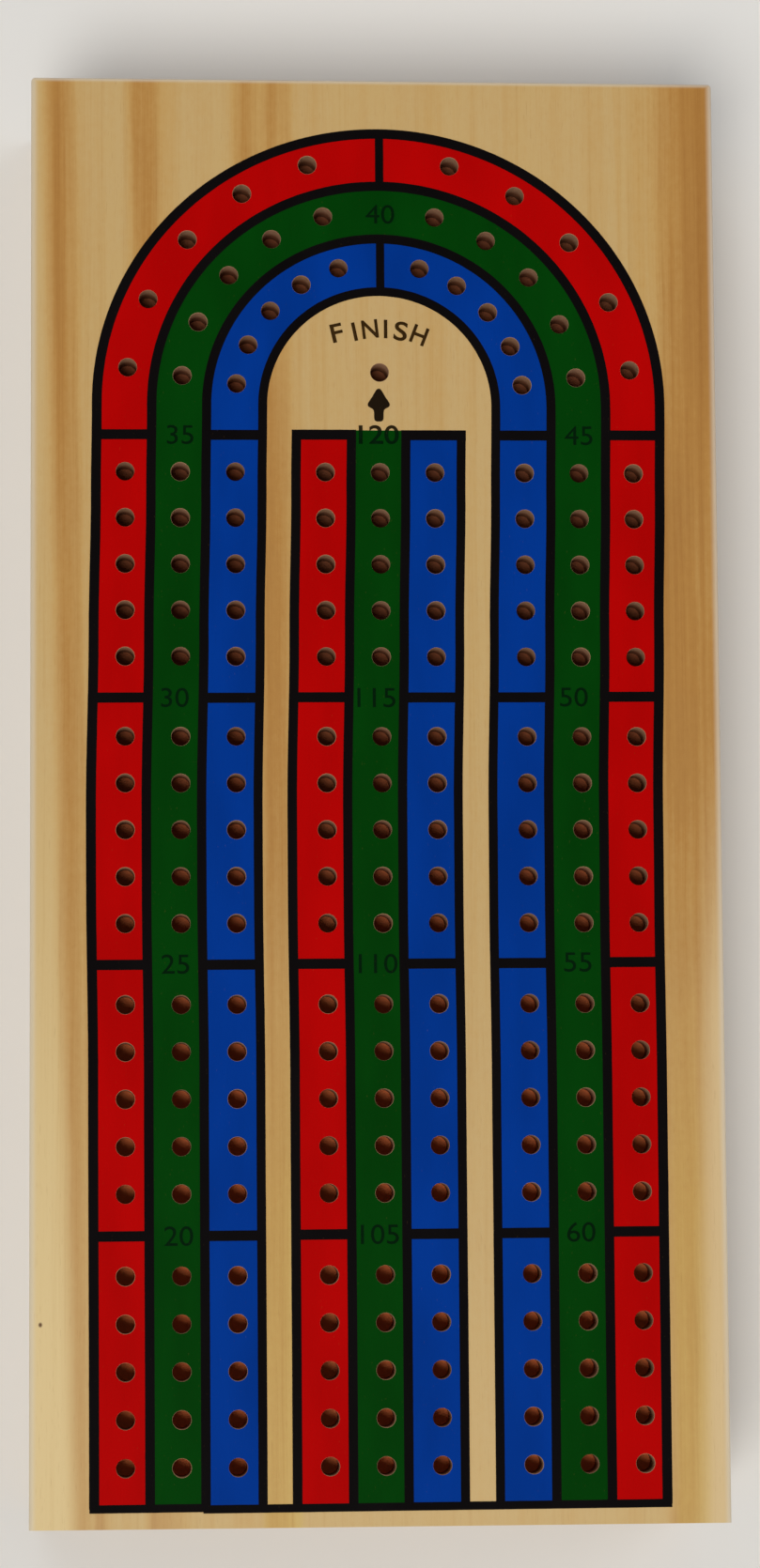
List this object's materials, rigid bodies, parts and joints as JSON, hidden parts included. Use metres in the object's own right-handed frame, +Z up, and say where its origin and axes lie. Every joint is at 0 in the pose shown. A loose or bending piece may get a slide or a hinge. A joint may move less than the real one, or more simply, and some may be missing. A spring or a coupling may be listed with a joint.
{
  "type": "cribbage board",
  "caption": "Folding wooden cribbage board with coloured peg tracks on its outer faces, hinged at one end, with a card well and peg pockets inside.",
  "frame": {"origin": "middle of the closed board's footprint, hinge barrels included, on the plane of the lower half's playing face, which it rests on", "axes": "X across the width, +Y along the length from the hinged seam end to the free end, +Z up out of the upper half's playing face"},
  "size_m": [0.0888, 0.1876, 0.032],
  "materials": {
    "board_wood": "satin-lacquered light pine, straight grain along the length, with red, green, blue and black printed lanes on the playing faces",
    "hinge_brass": "thin brass-plated sheet, satin",
    "pin_steel": "plain steel wire",
    "screw_brass": "brass-plated countersunk slotted screw",
    "magnet_nickel": "nickel-plated disc",
    "peg_red": "moulded red plastic",
    "peg_green": "moulded green plastic",
    "peg_blue": "moulded blue plastic"
  },
  "bodies": {
    "lower_half": {"lower_board": "board_wood", "hinge_left_lower_leaf": "hinge_brass", "hinge_right_lower_leaf": "hinge_brass", "hinge_left_pin": "pin_steel", "hinge_right_pin": "pin_steel", "screw_left_lower_1": "screw_brass", "screw_left_lower_2": "screw_brass", "screw_right_lower_1": "screw_brass", "screw_right_lower_2": "screw_brass", "magnet_lower_left": "magnet_nickel", "magnet_lower_right": "magnet_nickel"},
    "upper_half": {"upper_board": "board_wood", "hinge_left_upper_leaf": "hinge_brass", "hinge_right_upper_leaf": "hinge_brass", "screw_left_upper_1": "screw_brass", "screw_left_upper_2": "screw_brass", "screw_right_upper_1": "screw_brass", "screw_right_upper_2": "screw_brass", "magnet_upper_left": "magnet_nickel", "magnet_upper_right": "magnet_nickel"},
    "peg_red_1": {"peg_red_1": "peg_red"},
    "peg_red_2": {"peg_red_2": "peg_red"},
    "peg_red_3": {"peg_red_3": "peg_red"},
    "peg_green_1": {"peg_green_1": "peg_green"},
    "peg_green_2": {"peg_green_2": "peg_green"},
    "peg_green_3": {"peg_green_3": "peg_green"},
    "peg_blue_1": {"peg_blue_1": "peg_blue"},
    "peg_blue_2": {"peg_blue_2": "peg_blue"},
    "peg_blue_3": {"peg_blue_3": "peg_blue"}
  },
  "joints": [
    {"name": "fold", "type": "hinge", "parent": "lower_half", "child": "upper_half", "pos_m": [0, -0.09269, 0.016], "axis": [1, 0, 0], "range_deg": [0, 180]},
    {"name": "peg_red_1_lift", "type": "slide", "parent": "lower_half", "child": "peg_red_1", "axis": [0, 0, 1], "range_m": [0, 0.008]},
    {"name": "peg_red_2_lift", "type": "slide", "parent": "lower_half", "child": "peg_red_2", "axis": [0, 0, 1], "range_m": [0, 0.008]},
    {"name": "peg_red_3_lift", "type": "slide", "parent": "lower_half", "child": "peg_red_3", "axis": [0, 0, 1], "range_m": [0, 0.008]},
    {"name": "peg_green_1_lift", "type": "slide", "parent": "lower_half", "child": "peg_green_1", "axis": [0, 0, 1], "range_m": [0, 0.008]},
    {"name": "peg_green_2_lift", "type": "slide", "parent": "lower_half", "child": "peg_green_2", "axis": [0, 0, 1], "range_m": [0, 0.008]},
    {"name": "peg_green_3_lift", "type": "slide", "parent": "lower_half", "child": "peg_green_3", "axis": [0, 0, 1], "range_m": [0, 0.008]},
    {"name": "peg_blue_1_lift", "type": "slide", "parent": "lower_half", "child": "peg_blue_1", "axis": [0, 0, 1], "range_m": [0, 0.008]},
    {"name": "peg_blue_2_lift", "type": "slide", "parent": "lower_half", "child": "peg_blue_2", "axis": [0, 0, 1], "range_m": [0, 0.008]},
    {"name": "peg_blue_3_lift", "type": "slide", "parent": "lower_half", "child": "peg_blue_3", "axis": [0, 0, 1], "range_m": [0, 0.008]}
  ]
}
